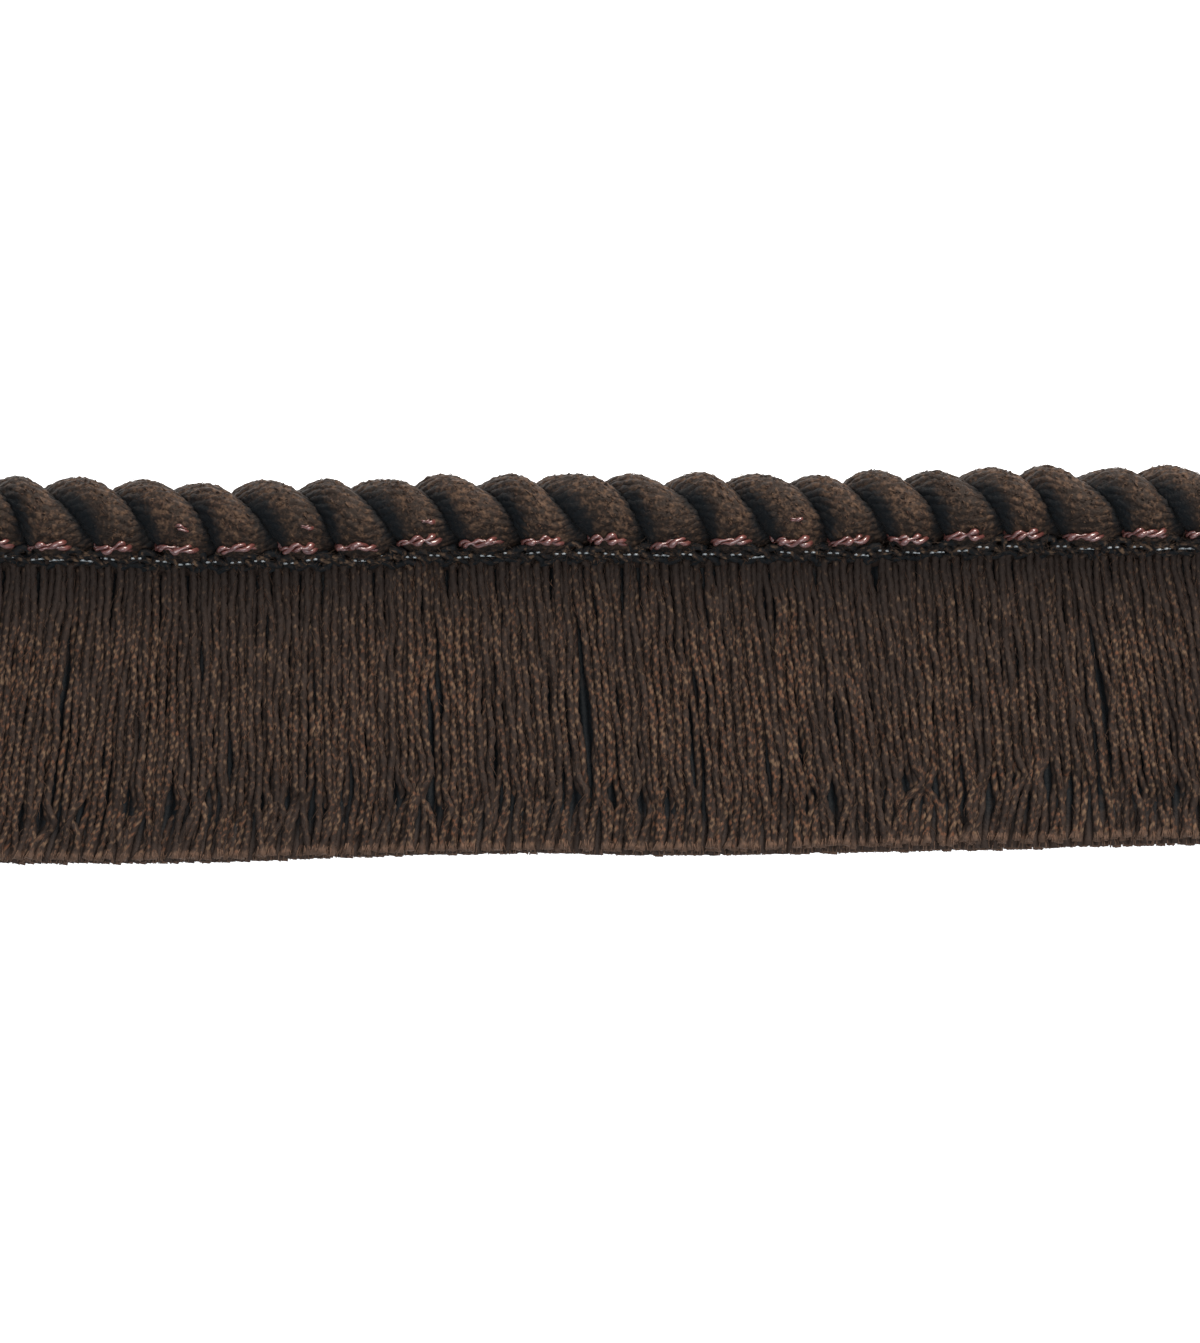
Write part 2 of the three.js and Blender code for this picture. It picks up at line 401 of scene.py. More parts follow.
def strand_yarns(strand, twist, rng):
    """The visible stretches of one strand's outer yarns. At distance d past its middle, a yarn is at the
    angle -turn d round the strand's oval, so that it runs straight along the cord where it is outermost.
    Its front is the way from its path to the same place a little further out."""
    yarn_radius = twist.offset + twist.radius
    sunk = yarn_radius * STRAND_YARN_SUNK
    longer = (STRAND_HALF_WIDTH - sunk) / (STRAND_HALF_DEPTH - sunk)
    spacing = 2 * np.pi / STRAND_YARNS / STRAND_YARN_TURN
    half_stretch = STRAND_YARN_REACH / STRAND_YARN_TURN
    count = int((LENGTH + 2 * half_stretch) / spacing)
    middle = (np.arange(count) + 0.5 - count / 2) * spacing
    start = np.maximum(middle - half_stretch, -HALF_LENGTH)
    end = np.minimum(middle + half_stretch, HALF_LENGTH)
    kept = end - start > 0.6
    middle, start, end = middle[kept, None], start[kept, None], end[kept, None]
    x = start + (end - start) * np.linspace(0, 1, STRAND_YARN_STEPS + 1)
    even = STRAND_YARN_TURN * (middle - x)
    lift = 0.09 * wander(rng, len(x), x, (1.7, 3.1, 5.3))
    angle = even + 0.12 * wander(rng, len(x), x, (3.3, 6.7))
    swell = 1 + 0.12 * wander(rng, len(x), x, (1.3, 1.9))
    turned = 1 - 2 * strand
    along_line, across_line = strand_oval(turned, angle, lift - sunk)
    paths = cord_space(x, along_line, across_line, yarn_radius)
    out = 0.2
    outer = cord_space(
        x,
        along_line + turned * out * np.cos(angle) * longer,
        across_line + turned * out * np.sin(angle),
        yarn_radius - 0.3,
    )
    # Painted shade: the yarns are painted towards the blue-black of the grooves, in the grooves and on the
    # shaded lower flanks.
    deep = painted_groove_shade(even, paths)
    return soft_yarns(paths, unit(outer - paths), twist, rng, 0.5, tip=deep, swell=swell, wound=x - start)


def cord_fibres(rng, count):
    """Tufts of fibres proud of the cord's strands. From a random place each goes a little way along the
    cord and back round its strand, in a low arch. They are drawn thicker than real ones to show."""
    t = np.linspace(0, 1, 3)
    x = rng.uniform(-HALF_LENGTH + 1, HALF_LENGTH - 1, (count, 1)) + rng.uniform(0.1, 0.45, (count, 1)) * t
    angle = rng.normal(-0.3, 0.75, (count, 1)) - rng.uniform(0.06, 0.22, (count, 1)) * t
    turned = rng.choice((-1, 1), (count, 1))
    proud = rng.uniform(-0.05, 0.03, (count, 1)) + 0.07 * np.sin(np.pi * t)
    route, outer = (cord_space(x, *strand_oval(turned, angle, up), 0.1) for up in (proud, proud + 0.3))
    outward = unit(outer - route + (0.0, 0.0, 1e-6))
    wide = rng.uniform(0.06, 0.13, (count, 1)) + 0 * x
    rings = tube_rings(route, outward, 0.05 + 0 * x, wide, 3)
    tone = rng.uniform(0.4, 1.9, (count, 1)) + 0 * x
    # The fibres get the same painted shade in the grooves as the yarns.
    return Tubes(rings, lengths_along(route), tone, painted_groove_shade(angle, route))


def cord_cut_ends(twist, rng):
    """The cut yarns that show at the cord's two ends: short straight stubs in rings inside each strand's
    oval."""
    share = np.repeat((0.0, 0.36, 0.7), (1, 6, 12))[:, None]
    around = np.concatenate(([0.0], np.arange(6) / 6, np.arange(12) / 12 + 0.04))[:, None] * 2 * np.pi
    made = []
    for end in (-1, 1):
        for turned in (-1, 1):
            outer = end * (HALF_LENGTH + rng.uniform(-0.25, 0.35, (len(share), 1)))
            x = outer - end * np.linspace(1.6, 0, 5)
            paths = cord_space(x, *strand_oval(turned, around, 0.0, share), 0.6)
            paths = paths if end > 0 else paths[:, ::-1]
            made += plied(paths, UP, twist, rng, swell=1.05)
    return made


def strand_cores():
    """The filling of both strands, one oval tube each. It lies just under the outer yarns and closes the
    gaps between them."""
    sides = 32
    depth = 0.1
    x = np.linspace(-HALF_LENGTH + 0.3, HALF_LENGTH - 0.3, 321)
    angle = 2 * np.pi * np.arange(sides) / sides
    turned = np.array([1, -1])[:, None, None]
    rings = cord_space(x[None, :, None], *strand_oval(turned, angle, -depth), depth)
    along = np.broadcast_to(x + HALF_LENGTH, (2, len(x)))
    seen = np.where(angle > np.pi, angle - 2 * np.pi, angle)
    # The core gets the same painted shade in the grooves as the yarns.
    return Tubes(rings, along, 0.5 + 0 * along, painted_groove_shade(seen, rings))


# The skirt.


class Layer(NamedTuple):
    """One layer of the skirt's yarns."""

    name: str
    root: float  # height of a yarn's middle at its root
    end: float  # and at its cut end
    set_along: float  # share of a pitch by which the layer is set along
    follows: float  # share of the partings that it follows
    step: float  # length of one step along a yarn
    wander: float  # how far a yarn strays from its course
    short: float = 0.0  # how much shorter than the back layer it is cut
    gather: float = 0.0  # how much it is drawn to the middle of its group at the kink
    dive: float = 0.0  # how deep it may dive there
    wraps: bool = False  # whether its yarns are looped over the heading


BACK = Layer(
    name="skirt_back_yarns", root=0.7, end=0.7, set_along=0.75, follows=-0.2, step=1.1, wander=0.05
)
INNER = Layer(
    name="skirt_inner_yarns", root=2.4, end=1.2, set_along=0.25, follows=0.0, step=1.0, wander=0.1,
    short=0.15,
)
MIDDLE = Layer(
    name="skirt_middle_yarns", root=3.2, end=1.8, set_along=0.0, follows=0.2, step=0.75, wander=0.5,
    short=0.55, gather=0.35, dive=0.9,
)
FRONT = Layer(
    name="skirt_front_yarns", root=3.7, end=2.4, set_along=0.5, follows=0.6, step=0.55, wander=0.52,
    short=0.8, gather=0.5, dive=1.25, wraps=True,
)
KINK_SOFTNESS = 0.7
FLOOR_CLEARANCE = 0.6
LOOP_DROP = 0.3  # from the top of the heading down to where the front yarns leave it
TUCKED = 0.5  # from the top of the heading down to where the other layers start
HEADING_FRONT = HEADING_DEPTH - 0.35  # where the middles of the looped yarns lie
FREE_BELOW = 4.0  # how far below the heading the yarns' roots still hold them
CORE_HALF_WIDTH = 1.75
CORE_HALF_DEPTH = 1.5
CORE_RISE = 0.15  # of its middle above the top of the heading
CORE_Z = 2.2
SKIRT_FIBRES = 3400


def clumps(root_x):
    """The middle of each yarn's group, and how strongly and how much higher up the group gathers. Groups
    have two to five yarns, the same ones in each layer."""
    count = len(root_x)
    rng = np.random.default_rng(23)
    group = np.repeat(np.arange(count), rng.choice((2, 3, 3, 4, 5), count))[:count]
    total = np.bincount(group, weights=root_x[:, 0])
    middle = total[group] / np.bincount(group)[group]
    strength = rng.uniform(0, 1.5, count)[group]
    higher = rng.normal(0, 0.9, count)[group]
    return middle[:, None], strength[:, None], higher[:, None]


def heading_loop(root_x, top):
    """The start of each front yarn: a half circle from behind the heading over its top to its front."""
    over = np.pi * np.linspace(1, 0, 9)[:-1]
    y = top + 0.35 * np.sin(over)
    z = HEADING_DEPTH / 2 + (HEADING_FRONT - HEADING_DEPTH / 2) * np.cos(over) + 0 * top
    return root_x + 0 * y, y, z


def skirt_paths(layer, rng):
    """The hanging yarns of one layer, and the heights of their cuts. Below its root a yarn leans by the
    tangent of its angle, is pushed aside by the partings, and turns back below the kink on a soft bend.
    Near the kink it is drawn towards the middle of its group, and some yarns dive behind the others. Its
    height falls from root to end as the 1.6th power of what is left to hang. The front yarns are looped
    over the heading, and sink in by different amounts where they leave it."""
    count = YARNS_PER_LAYER
    root_x = (YARN_PITCH * (np.arange(count) + layer.set_along - count / 2))[:, None]
    head = cord_axis_y(root_x) - HEADING_TOP
    root = head - HEADING_WIDTH
    top = head - (LOOP_DROP if layer.wraps else TUCKED) + rng.normal(0, 0.35, (count, 1))
    cut = CORD_AXIS_Y - CUT_DROP + course("cut_rise", root_x)
    cut = cut + layer.short * (0.8 + 0.7 * ramp((root_x + 10) / 60)) + rng.normal(0, 0.07, (count, 1))
    middle, strength, higher = clumps(root_x)
    kink = cut + KINK_RISE + higher + rng.normal(0, 0.3, (count, 1))
    lean = np.radians(course("lean", root_x))
    push = layer.follows * parting_shift(root_x)
    stations = int((CUT_DROP - HEADING_TOP) / layer.step) + 1
    y = top + (cut - top) * np.linspace(0, 1, stations)
    fallen = np.maximum(0, root - y)
    turn_back = KINK_TURN * (1 + 0.7 * layer.dive * rng.normal(0.3, 1.0, (count, 1)))
    bend = np.tan(lean - turn_back) - np.tan(lean)
    x = root_x + fallen * np.tan(lean) + bend * KINK_SOFTNESS * np.logaddexp(0, (kink - y) / KINK_SOFTNESS)
    hung = np.clip(fallen / (root - kink), 0, 1)
    x = x + push * (1 - (1 - hung) ** 2.3) + PARTED_BELOW_KINK * push * ramp((kink - y) / KINK_RISE)
    x = x + layer.wander * rng.normal(0, 0.5, (count, 1)) * np.exp(-fallen / FREE_BELOW)
    free = ramp(fallen / FREE_BELOW)
    x = x + 0.7 * layer.wander * free * wander(rng, count, y, (8.0, 15.0, 31.0))
    drawn = layer.gather * strength * (bell(y - kink, 1.6) + 0.2 * bell(y - kink - 7, 4))
    x = x + (middle - root_x) * drawn * free
    if layer.follows > 0:
        x = x + slit_shift(root_x, y)
    z = layer.end + (layer.root - layer.end) * (1 - np.clip(fallen / (root - cut), 0, 1)) ** 1.6
    z = z + layer.wander * free * wander(rng, count, y, (6.0, 11.0, 23.0))
    dive = layer.dive * rng.uniform(0, 1, (count, 1)) ** 1.5
    z = z - dive * (0.35 * bell(y - kink + 0.8, 1.6) + 0.65 * ramp((kink + 1.5 - y) / 3))
    if layer.wraps:
        sunk = rng.uniform(0, 0.9, (count, 1)) ** 1.5 * bell(top - 1.6 - y, 2.2)
        z = z + (HEADING_FRONT - layer.root) * np.exp(-(top - y) / 1.4) - sunk
        loop = heading_loop(root_x, top)
        x, y, z = (np.concatenate(parts, axis=1) for parts in zip(loop, (x, y, z)))
    return vectors(x, y, np.maximum(FLOOR_CLEARANCE, z)), cut


def heading_core():
    """The knitted ground inside the heading, as one oval tube along it. It reaches up under the cord's
    lower edge, so that no light comes through the seam."""
    x = np.linspace(-HALF_LENGTH + 0.4, HALF_LENGTH - 0.4, 121)
    angle = 2 * np.pi * np.arange(12) / 12
    head = cord_axis_y(x)[None, :, None] - HEADING_TOP
    y = head + CORE_RISE + CORE_HALF_WIDTH * np.cos(angle)
    z = CORE_Z + CORE_HALF_DEPTH * np.sin(angle)
    along = (x + HALF_LENGTH)[None]
    return Tubes(vectors(x[None, :, None], y, z), along, 0 * along, 0 * along)


def skirt_yarns(layer, twist, rng):
    """One layer's two-ply yarns, and their paths. They swell a little at the cut, and are darker near the
    heading, where the sewing keeps the light off them."""
    paths, cut = skirt_paths(layer, rng)
    fallen = np.maximum(0, paths[:, :1, 1] - paths[:, :, 1])
    tone = rng.uniform(0, 1, (len(paths), 1)) - 1.1 * np.exp(-((fallen / 6.5) ** 2))
    tangent = unit(np.gradient(paths, axis=1))
    front = np.cross(np.array((1.0, 0.0, 0.0)), -tangent)
    # The last 1.3 mm above the cut are painted the paler colour of the cut ends, partly the fibres' own and
    # partly painted light.
    tip = 1 - ramp((paths[:, :, 1] - cut) / 1.3)
    return soft_yarns(paths, front, twist, rng, tone, tip=tip, swell=1 + 0.16 * tip), paths


def inner_yarns(rng):
    """The skirt's second layer from the back, and its paths: soft single yarns, as ovals that are wide
    enough to touch. They are drawn in the blue-black of painted shade, a little paler near the cut as
    painted light.
    """
    paths, cut = skirt_paths(INNER, rng)
    along = lengths_along(paths)
    # Up to 6 mm above the cut these yarns are painted a little paler, a painted light that keeps the gaps
    # near the cut from reading dark.
    tip = 0.35 - 0.35 * ramp((paths[:, :, 1] - cut - 0.5) / 5.5)
    wide = 0.74 + 0.05 * wander(rng, len(paths), along, (3.7, 6.1))
    tone = rng.uniform(0, 1, (len(paths), 1)) + 0 * along
    return Tubes(tube_rings(paths, UP, 0.5 + 0 * along, wide, 5), along, tone, tip), paths


def fibre_tubes(route, least_z, radius, tip, rng):
    """Three-sided tubes along routes, which are lifted off the floor where they would sink into it."""
    route[:, :, 2] = np.maximum(least_z, route[:, :, 2])
    radii = np.full(route.shape[:2], radius)
    rings = tube_rings(route, UP, radii, radii, 3)
    tone = rng.uniform(0, 1, (len(route), 1)) + 0 * radii
    return Tubes(rings, lengths_along(route), tone, np.full(route.shape[:2], tip))


def frayed_ends(paths, rng):
    """Short straight fibres that fan out of each yarn's last stretch, drawn thicker than real ones to
    show."""
    fibres = 12
    end = np.repeat(paths[:, -1], fibres, axis=0)
    before = np.repeat(paths[:, -3], fibres, axis=0)
    count = len(end)
    down = unit(end - before)
    around = rng.uniform(0, 2 * np.pi, count)
    out = rng.uniform(0.1, 0.6, count)
    spread = vectors(out * np.cos(around), 0 * out, out * np.sin(around))
    start = end - down * rng.uniform(0.6, 1.3, (count, 1)) + spread * 0.8
    finish = end + down * rng.uniform(-0.1, 0.1, (count, 1)) + spread * rng.uniform(1.0, 1.6, (count, 1))
    route = np.stack((start, finish), axis=1)
    # The frayed fibres are painted wholly in the paler colour of the cut ends, partly their own and partly
    # painted light.
    return fibre_tubes(route, least_z=0.12, radius=0.1, tip=1.0, rng=rng)


def loose_fibres(paths, rng, count):
    """Single fibres that stand a little off the yarns: each starts at a random place on a path and drifts
    away from it in a shallow curve. They are drawn thicker than real ones to show."""
    yarn = rng.integers(0, len(paths), count)
    place = rng.integers(2, paths.shape[1] - 3, count)
    start = paths[yarn, place]
    along = unit(paths[yarn, place + 1] - start)
    around = rng.uniform(-1.2, 1.2, count)
    out = vectors(np.sin(around), 0 * around, np.cos(around))
    length = rng.uniform(0.6, 1.8, (count, 1)) * rng.choice((-1, 1), (count, 1))
    sway = vectors(rng.normal(0, 0.35, count), 0, rng.normal(0, 0.1, count))
    t = np.linspace(0, 1, 3)[None, :, None]
    route = (start + out * 0.45)[:, None] + (along * length + sway)[:, None] * t
    route = route + (out * rng.uniform(0.1, 0.35, (count, 1)))[:, None] * np.sin(np.pi * t)
    return fibre_tubes(route, least_z=0.1, radius=0.045, tip=0.15, rng=rng)


# The sewing.

STITCH_HALF_SPAN = 2.65  # of one red stitch, along the cord
STITCH_ANGLE = math.radians(130.5)  # from the cord's top to its front
STITCH_DROPS = (3.85, 3.45)  # below the cord's axis, at the left and the right end
STITCH_LIFT = 0.36  # of the thread's middle above the cord's outline

# Where the red thread comes up for a moment on the face of the cord.
CATCHES = (-52.6, -37.0, -21.6, 25.4)
CATCH_HALF_SPAN = 0.75
CATCH_DROP = 1.0
CATCH_LIFT = 0.1
CATCH_THICKNESS = 0.6  # of the full thread's

# The clear chain stitch and the binding.
CHAIN_PITCH = 3.2
CHAIN_DROP = 5.25  # below the cord's axis
CHAIN_Z = 5.2  # height of the clear thread between its arches
ARCH_HEIGHT = 1.6  # of its taller arches above that
CHAIN_RADIUS = 0.13
BINDING_FIBRES = 1500


def stitch_places():
    """The middle of each red stitch: one on each turn of the cord's lower flank."""
    half_lay = CORD_LAY / 2
    first = -int(HALF_LENGTH / half_lay) - 1
    turn = np.arange(first, -first + 1)
    middle = CORD_PEAK_X + half_lay * turn + STITCH_ANGLE * CORD_LAY / (2 * np.pi)
    middle = middle + course("slip", middle)
    return middle[np.abs(middle) < HALF_LENGTH - STITCH_HALF_SPAN - 0.4]


def red_stitches(middle, half_span, drops, lifted, twist, rng):
    """Stitches of two threads wound round each other. Across a stitch the drop below the cord's axis goes
    evenly from left to right, and the angle round the cord is the one whose cosine is minus the drop over
    the radius there, found by repeated steps. The height above the outline falls away at the two ends, into
    the cord. The pair is thin where it comes up on the left and full on the right."""
    middle = np.array(middle)[:, None]
    t = np.linspace(-1, 1, 45)
    x = middle + half_span * t
    height = lifted - 1.5 * np.abs(t) ** 6 + 0.14 * wander(rng, len(x), x, (1.9, 3.1))
    drop = sum(drops) / 2 + (drops[1] - drops[0]) / 2 * t + rng.normal(0, 0.12, middle.shape)
    drop = drop + 0.16 * wander(rng, len(x), x, (2.5, 4.0))
    angle = np.full(x.shape, math.radians(130.0))  # where the steps start from
    for _ in range(12):
        radius = cord_outline(angle - cord_twist(x)) + height
        angle = (angle + np.arccos(np.clip(-drop / radius, -0.9, 0.9))) / 2
    turned = angle - cord_twist(x)
    paths = cord_space(x, radius * np.cos(turned), radius * np.sin(turned))
    front = vectors(0 * x, np.cos(angle), np.sin(angle))
    full = 0.88 + 0.28 * t + 0.6 * wander(rng, len(x), x, (1.5, 2.3))
    return plied(paths, front, twist, rng, swell=full)


def binding_yarns(twist, rng):
    """Three brown yarns looped between the cord's flank and the heading, a third of a loop apart, and their
    paths. A yarn rises and falls as a cosine of the distance along, onto the flank and down to the heading,
    and the lower ones lie nearer the skirt."""
    x = np.arange(-HALF_LENGTH + 0.3, HALF_LENGTH - 0.3, 0.36)
    x = np.broadcast_to(x, (3, len(x)))
    shift = np.array([[0.0], [2.1], [4.2]])
    drop = np.array([[4.6], [5.1], [5.8]])
    height = np.array([[6.1], [5.7], [4.6]])
    # The lowest yarn's darker tone is painted shade, matching the shade under the cord.
    tone = np.array([[0.3], [0.9], [-0.4]])
    wave = np.cos(2 * np.pi * x / CHAIN_PITCH + shift + 0.8 * wander(rng, 3, x, (9.0, 17.0, 31.0)))
    swing = 0.45 + 0.25 * wander(rng, 3, x, (7.0, 11.0))
    y = cord_axis_y(x) - drop + swing * wave + 0.3 * wander(rng, 3, x, (3.0, 5.0, 11.0))
    z = height + 0.5 * wave + 0.35 * wander(rng, 3, x, (4.1, 7.3))
    paths = vectors(x + 0.4 * np.sin(4 * np.pi * x / CHAIN_PITCH), y, z)
    return soft_yarns(paths, np.array((0.0, -0.35, 1.0)), twist, rng, tone), paths


def clear_chain(rng):
    """A clear thread along the heading, seen as two small arches in each stitch: its height is the sum of
    two bells, one on each side of the stitch's middle, and each stitch has a height of its own."""
    count = int((LENGTH - 6) / CHAIN_PITCH)
    middle = (np.arange(count) + 0.5 - count / 2)[:, None] * CHAIN_PITCH
    middle = middle + rng.normal(0, 0.22, middle.shape)
    t = np.linspace(-1.2, 1.2, 25)
    x = middle + t
    arch, half_width = 0.46, 0.24
    rise = bell(t - arch, half_width) + bell(t + arch, half_width)
    y = cord_axis_y(x) - CHAIN_DROP + 0.3 * rng.uniform(-1, 1, middle.shape)
    y = y + 0.12 * t * rng.uniform(-1, 1, middle.shape)
    z = CHAIN_Z + ARCH_HEIGHT * rise * rng.uniform(0.55, 1.05, middle.shape)
    paths = vectors(x, y, z)
    radius = np.full(x.shape, CHAIN_RADIUS)
    rings = tube_rings(paths, UP, radius, radius, 6)
    return Tubes(rings, lengths_along(paths), np.ones(x.shape), np.zeros(x.shape))


# Materials.


def linear(hexadecimal):
    """An sRGB colour such as 4a3c34 in linear light."""
    parts = [int(hexadecimal[i : i + 2], 16) / 255 for i in (0, 2, 4)]
    return [c / 12.92 if c <= 0.04045 else ((c + 0.055) / 1.055) ** 2.4 for c in parts]


def add_node(tree, kind, inputs=None, settings=None, output=0):
    """Adds a shader node with its settings, and gives one of its outputs. An input is given as another
    node's output or as a value."""
    made = tree.nodes.new("ShaderNode" + kind)
    for name, value in (settings or {}).items():
        setattr(made, name, value)
    for name, value in (inputs or {}).items():
        socket = made.inputs[name]
        if isinstance(value, bpy.types.NodeSocket):
            tree.links.new(value, socket)
        elif socket.type == "RGBA":
            socket.default_value = (*value, 1.0)
        else:
            socket.default_value = value
    return made.outputs[output] if len(made.outputs) else None


# A Mix node for colours: its settings, its two colour inputs and its output.
MIX_COLOURS = {"data_type": "RGBA"}
FIRST, SECOND, MIXED = 6, 7, 2


def new_material(name):
    """A material with no nodes, and its node tree."""
    material = bpy.data.materials.new(name)
    material.use_nodes = True
    material.node_tree.nodes.clear()
    return material, material.node_tree


def give_surface(tree, surface):
    """Ends a material with one shader that has these inputs."""
    shader = add_node(tree, "BsdfPrincipled", surface)
    add_node(tree, "OutputMaterial", {"Surface": shader})


def painted_crest_highlight(tree, uv, crest_highlight):
    """A painted highlight: the share of its lightness that a place on a yarn keeps. All of it is kept on the
    side of a ply's crest that faces up, towards the lights, and less by the given share between the crests
    and on the flanks, as painted shade."""
    around = add_node(tree, "SeparateXYZ", {0: uv})
    around = add_node(tree, "Math", {0: around, 1: 2 * math.pi}, {"operation": "MULTIPLY"})
    facing = add_node(tree, "Math", {0: around}, {"operation": "COSINE"})
    facing = add_node(tree, "MapRange", {"Value": facing, "From Min": 0.25, "From Max": 0.92})
    crown = add_node(tree, "Attribute", settings={"attribute_name": "crown"}, output="Fac")
    crest = add_node(tree, "MapRange", {"Value": crown, "From Min": -0.7, "From Max": 0.55})
    ridge = add_node(tree, "Math", {0: facing, 1: crest}, {"operation": "MULTIPLY"})
    return add_node(tree, "MapRange", {"Value": ridge, "To Min": 1 - crest_highlight, "To Max": 1.0})


def spun_yarn(name, colours, bead, grain, crest_highlight, plain, mixed=0.7):
    """Spun viscose, dyed in the fibre and plied: a matt hairy surface with a faint sheen. Its fibres are of
    several browns, so a yarn is darker or lighter from one bead, its length between two crossings of the
    plies, to the next, and more so the higher mixed is. Where the crest highlight is above 0, a painted
    highlight lightens the upper side of each crest and painted shade darkens the flanks, so a yarn shows a
    row of lit beads, and its fibres lie along it. Where it is 0 the hairs of neighbouring yarns have matted,
    and the pattern runs across them. The lightest fibres are short flecks, golden or reddish, fewer the
    higher plain is, and the trim is uneven over 8 mm as well. A fibre is finer than the render shows, so a
    fleck is drawn grain wide. The last colour is painted where a yarn is marked for it: painted shade in the
    cord's grooves, and at the skirt's cut ends a paler brown that is partly the fibres' own and partly
    painted light."""
    shade, mid, fleck, rust, tip = colours
    material, tree = new_material(name)
    where = add_node(tree, "TexCoord", output="Object")
    uv = add_node(tree, "UVMap", settings={"uv_map": "ply"})
    tone = add_node(tree, "Attribute", settings={"attribute_name": "tone"}, output="Fac")
    end = add_node(tree, "Attribute", settings={"attribute_name": "tip"}, output="Fac")
    longer = 1.7 if crest_highlight else 1.0
    scale = (1 / (grain * MM), 1 / (longer * grain * MM), 1 / (grain * MM))
    place = add_node(tree, "Mapping", {"Vector": where, "Scale": scale})
    noise = {"Vector": place, "Scale": 1.0, "Detail": 2.0, "Roughness": 0.65}
    fibres = add_node(tree, "TexNoise", noise)
    if crest_highlight:
        place = add_node(tree, "Mapping", {"Vector": uv, "Scale": (0.7, 1 / bead, 1.0)})
    else:
        place = add_node(tree, "Mapping", {"Vector": where, "Scale": (1 / (bead * MM),) * 3})
    beads = add_node(tree, "TexNoise", {"Vector": place, "Scale": 1.0, "Detail": 1.0})
    spread = {"Value": beads, "To Min": 0.5 - mixed, "To Max": 0.5 + mixed}
    beads = add_node(tree, "MapRange", spread, {"clamp": False})
    zones = add_node(tree, "TexNoise", {"Vector": where, "Scale": 1 / (8.0 * MM), "Detail": 1.0})
    uneven = add_node(tree, "MapRange", {"Value": zones, "From Min": 0.3, "From Max": 0.7, "To Max": 0.2})
    lightness = add_node(tree, "Math", {0: tone, 1: 0.24, 2: beads}, {"operation": "MULTIPLY_ADD"})
    lightness = add_node(tree, "Math", {0: lightness, 1: uneven}, {"operation": "ADD"})
    crests = painted_crest_highlight(tree, uv, crest_highlight)
    lightness = add_node(tree, "Math", {0: lightness, 1: crests}, {"operation": "MULTIPLY"})
    speckled = add_node(tree, "Math", {0: fibres, 1: 0.5, 2: lightness}, {"operation": "MULTIPLY_ADD"})
    body = add_node(tree, "MapRange", {"Value": speckled, "From Min": 0.52, "From Max": 1.2})
    flecks = add_node(tree, "MapRange", {"Value": speckled, "From Min": plain, "From Max": plain + 0.5})
    hues = add_node(tree, "MapRange", {"Value": beads, "From Min": 0.42, "From Max": 0.58})
    # This mixes in the last colour: painted shade in the cord's grooves, and at the skirt's cut ends a paler
    # brown that is partly painted light.
    frayed = add_node(tree, "Math", {0: end, 1: 0.92}, {"operation": "MULTIPLY"})
    light = add_node(tree, "Mix", {"Factor": hues, FIRST: rust, SECOND: fleck}, MIX_COLOURS, MIXED)
    colour = add_node(tree, "Mix", {"Factor": body, FIRST: shade, SECOND: mid}, MIX_COLOURS, MIXED)
    colour = add_node(tree, "Mix", {"Factor": flecks, FIRST: colour, SECOND: light}, MIX_COLOURS, MIXED)
    colour = add_node(tree, "Mix", {"Factor": frayed, FIRST: colour, SECOND: tip}, MIX_COLOURS, MIXED)
    bump = add_node(tree, "Bump", {"Height": fibres, "Strength": 0.9, "Distance": 0.2 * MM})
    surface = {
        "Base Color": colour,
        "Roughness": 0.6,
        "Specular IOR Level": 0.14,
        "Specular Tint": (1.0, 0.9, 0.8),
        "Sheen Weight": 0.015,
        "Sheen Roughness": 0.5,
        "Sheen Tint": (0.9, 0.75, 0.62),
        "Normal": bump,
    }
    give_surface(tree, surface)
    return material


def sewing_thread(name, shade, shine):
    """Filament rayon sewing thread, twisted: smooth bright filaments that catch the light in short streaks.
    The filaments slant round the thread, 0.6 mm long, a few times coarser than real ones to show."""
    material, tree = new_material(name)
    uv = add_node(tree, "UVMap", settings={"uv_map": "ply"})
    slant = {"Vector": uv, "Rotation": (0, 0, 0.6), "Scale": (7.0, 1.6, 1.0)}
    place = add_node(tree, "Mapping", slant)
    filaments = add_node(tree, "TexNoise", {"Vector": place, "Scale": 1.0, "Detail": 2.0})
    # The lighter pink streaks are painted sheen along the filaments, besides the thread's own gloss.
    colour = add_node(tree, "Mix", {"Factor": filaments, FIRST: shade, SECOND: shine}, MIX_COLOURS, MIXED)
    bump = add_node(tree, "Bump", {"Height": filaments, "Strength": 0.5, "Distance": 0.05 * MM})
    surface = {
        "Base Color": colour,
        "Roughness": 0.3,
        "Specular IOR Level": 0.8,
        "Coat Weight": 0.8,
        "Coat Roughness": 0.17,
        "Normal": bump,
    }
    give_surface(tree, surface)
    return material


def clear_nylon(name, colour):
    """Drawn nylon monofilament: smooth and glossy. The real one is clear and shows as small bluish white
    glints, so it is drawn half clear in a light grey, a painted highlight that makes each arch show as a
    soft glint."""
    material, tree = new_material(name)
    where = add_node(tree, "TexCoord", output="Object")
    waves = add_node(tree, "TexNoise", {"Vector": where, "Scale": 1.6 / MM, "Detail": 1.0})
    rough = add_node(tree, "MapRange", {"Value": waves, "To Min": 0.2, "To Max": 0.34})
    surface = {
        "Base Color": colour,
        "Roughness": rough,
        "IOR": 1.53,
        "Transmission Weight": 0.4,
        "Coat Weight": 0.4,
        "Coat Roughness": 0.16,
    }
    give_surface(tree, surface)
    return material


